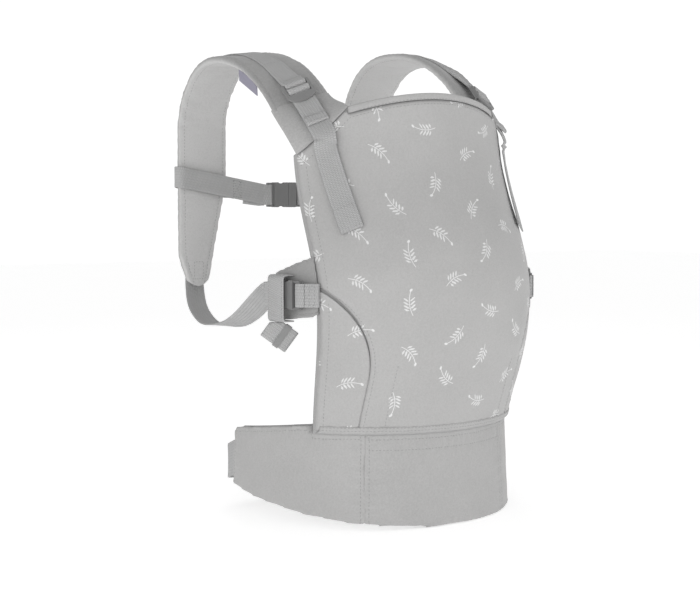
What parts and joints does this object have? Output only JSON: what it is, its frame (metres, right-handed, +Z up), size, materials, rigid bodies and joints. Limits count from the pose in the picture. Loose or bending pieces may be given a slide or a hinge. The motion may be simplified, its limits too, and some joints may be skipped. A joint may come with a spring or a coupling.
{
  "type": "soft baby carrier",
  "caption": "Soft structured baby carrier with a padded waistbelt, a curved cloth panel, padded shoulder straps, webbing adjusters and side-release buckles.",
  "frame": {"origin": "on the wearer's torso axis, level with the belt's lower front edge", "axes": "+Z up the wearer's torso, -Y the side on which the child sits, +X the wearer's left when the child is in front"},
  "size_m": [0.3632, 0.4004, 0.5319],
  "materials": {
    "cloth": "mid-grey woven cotton over foam",
    "lining_cloth": "grey cotton lining",
    "webbing": "grey ribbed webbing",
    "buckle_plastic": "dark grey moulded acetal",
    "lock_plastic": "grey moulded acetal",
    "elastic": "grey elastic tape",
    "tag_cloth": "plain woven tape, left blank"
  },
  "bodies": {
    "carrier": {"front_panel": "cloth", "top_hem": "cloth", "left_panel_gusset": "cloth", "right_panel_gusset": "cloth", "belt_seam_strip": "cloth", "belt_middle": "cloth", "left_belt_wing": "cloth", "right_belt_wing": "cloth", "left_shoulder_strap": "cloth", "right_shoulder_strap": "cloth", "left_strap_yoke": "cloth", "right_strap_yoke": "cloth", "left_buckle_guard": "cloth", "right_buckle_guard": "cloth", "left_guard_band": "cloth", "right_guard_band": "cloth", "panel_lining": "lining_cloth", "left_belt_lining": "lining_cloth", "right_belt_lining": "lining_cloth", "left_strap_band": "webbing", "right_strap_band": "webbing", "left_adjuster_webbing": "webbing", "left_waist_webbing": "webbing", "left_anchor_webbing": "webbing", "left_side_webbing": "webbing", "left_webbing_tail": "webbing", "right_adjuster_webbing": "webbing", "right_waist_webbing": "webbing", "right_anchor_webbing": "webbing", "right_side_webbing": "webbing", "right_webbing_tail": "webbing", "waist_buckle_housing": "buckle_plastic", "waist_buckle_plug": "buckle_plastic", "left_side_buckle_housing": "buckle_plastic", "left_side_buckle_plug": "buckle_plastic", "right_side_buckle_housing": "buckle_plastic", "right_side_buckle_plug": "buckle_plastic", "strap_tag": "tag_cloth"},
    "chest_strap": {"left_chest_webbing": "webbing", "right_chest_webbing": "webbing", "chest_buckle_housing": "buckle_plastic", "chest_buckle_plug": "buckle_plastic"},
    "chest_buckle_upper_prong_body": {"chest_buckle_upper_prong": "buckle_plastic"},
    "chest_buckle_lower_prong_body": {"chest_buckle_lower_prong": "buckle_plastic"},
    "waist_buckle_upper_prong_body": {"waist_buckle_upper_prong": "buckle_plastic"},
    "waist_buckle_lower_prong_body": {"waist_buckle_lower_prong": "buckle_plastic"},
    "left_side_buckle_upper_prong_body": {"left_side_buckle_upper_prong": "buckle_plastic"},
    "left_side_buckle_lower_prong_body": {"left_side_buckle_lower_prong": "buckle_plastic"},
    "right_side_buckle_upper_prong_body": {"right_side_buckle_upper_prong": "buckle_plastic"},
    "right_side_buckle_lower_prong_body": {"right_side_buckle_lower_prong": "buckle_plastic"},
    "left_ladder_lock_body": {"left_ladder_lock": "lock_plastic", "left_adjuster_tail": "webbing"},
    "left_tail_keeper_body": {"left_tail_keeper": "elastic"},
    "right_ladder_lock_body": {"right_ladder_lock": "lock_plastic", "right_adjuster_tail": "webbing"},
    "right_tail_keeper_body": {"right_tail_keeper": "elastic"}
  },
  "joints": [
    {"name": "chest_strap_slide", "type": "slide", "parent": "carrier", "child": "chest_strap", "axis": [0, 0, 1], "range_m": [-0.015, 0.015]},
    {"name": "chest_buckle_upper_prong_squeeze", "type": "hinge", "parent": "chest_strap", "child": "chest_buckle_upper_prong_body", "pos_m": [0.0004, 0.17456, 0.3647], "axis": [0, -1, 0], "range_deg": [0, 11], "stiffness_Nm_per_rad": 0.8},
    {"name": "chest_buckle_lower_prong_squeeze", "type": "hinge", "parent": "chest_strap", "child": "chest_buckle_lower_prong_body", "pos_m": [0.0004, 0.17456, 0.3453], "axis": [0, 1, 0], "range_deg": [0, 11], "stiffness_Nm_per_rad": 0.8},
    {"name": "waist_buckle_upper_prong_squeeze", "type": "hinge", "parent": "carrier", "child": "waist_buckle_upper_prong_body", "pos_m": [0.004, 0.078, 0.0612], "axis": [0, -1, 0], "range_deg": [0, 11], "stiffness_Nm_per_rad": 0.8},
    {"name": "waist_buckle_lower_prong_squeeze", "type": "hinge", "parent": "carrier", "child": "waist_buckle_lower_prong_body", "pos_m": [0.004, 0.078, 0.0288], "axis": [0, 1, 0], "range_deg": [0, 11], "stiffness_Nm_per_rad": 0.8},
    {"name": "left_side_buckle_upper_prong_squeeze", "type": "hinge", "parent": "carrier", "child": "left_side_buckle_upper_prong_body", "pos_m": [-0.16145, -0.07834, 0.2597], "axis": [0.9744, 0.225, 0], "range_deg": [0, 11], "stiffness_Nm_per_rad": 0.8},
    {"name": "left_side_buckle_lower_prong_squeeze", "type": "hinge", "parent": "carrier", "child": "left_side_buckle_lower_prong_body", "pos_m": [-0.16145, -0.07834, 0.2403], "axis": [-0.9744, -0.225, 0], "range_deg": [0, 11], "stiffness_Nm_per_rad": 0.8},
    {"name": "right_side_buckle_upper_prong_squeeze", "type": "hinge", "parent": "carrier", "child": "right_side_buckle_upper_prong_body", "pos_m": [0.16145, -0.07834, 0.2597], "axis": [0.9744, -0.225, 0], "range_deg": [0, 11], "stiffness_Nm_per_rad": 0.8},
    {"name": "right_side_buckle_lower_prong_squeeze", "type": "hinge", "parent": "carrier", "child": "right_side_buckle_lower_prong_body", "pos_m": [0.16145, -0.07834, 0.2403], "axis": [-0.9744, 0.225, 0], "range_deg": [0, 11], "stiffness_Nm_per_rad": 0.8},
    {"name": "left_ladder_lock_tilt", "type": "hinge", "parent": "carrier", "child": "left_ladder_lock_body", "pos_m": [-0.12369, -0.04721, 0.47279], "axis": [-0.8961, 0.2698, -0.3524], "range_deg": [0, 35]},
    {"name": "left_tail_keeper_slide", "type": "slide", "parent": "carrier", "child": "left_tail_keeper_body", "axis": [0.6785, -0.4406, -0.5878], "range_m": [0, 0.006]},
    {"name": "right_ladder_lock_tilt", "type": "hinge", "parent": "carrier", "child": "right_ladder_lock_body", "pos_m": [0.12454, -0.04931, 0.47306], "axis": [-0.8929, -0.2734, 0.3576], "range_deg": [0, 35]},
    {"name": "right_tail_keeper_slide", "type": "slide", "parent": "carrier", "child": "right_tail_keeper_body", "axis": [-0.6785, -0.4406, -0.5878], "range_m": [0, 0.006]}
  ]
}
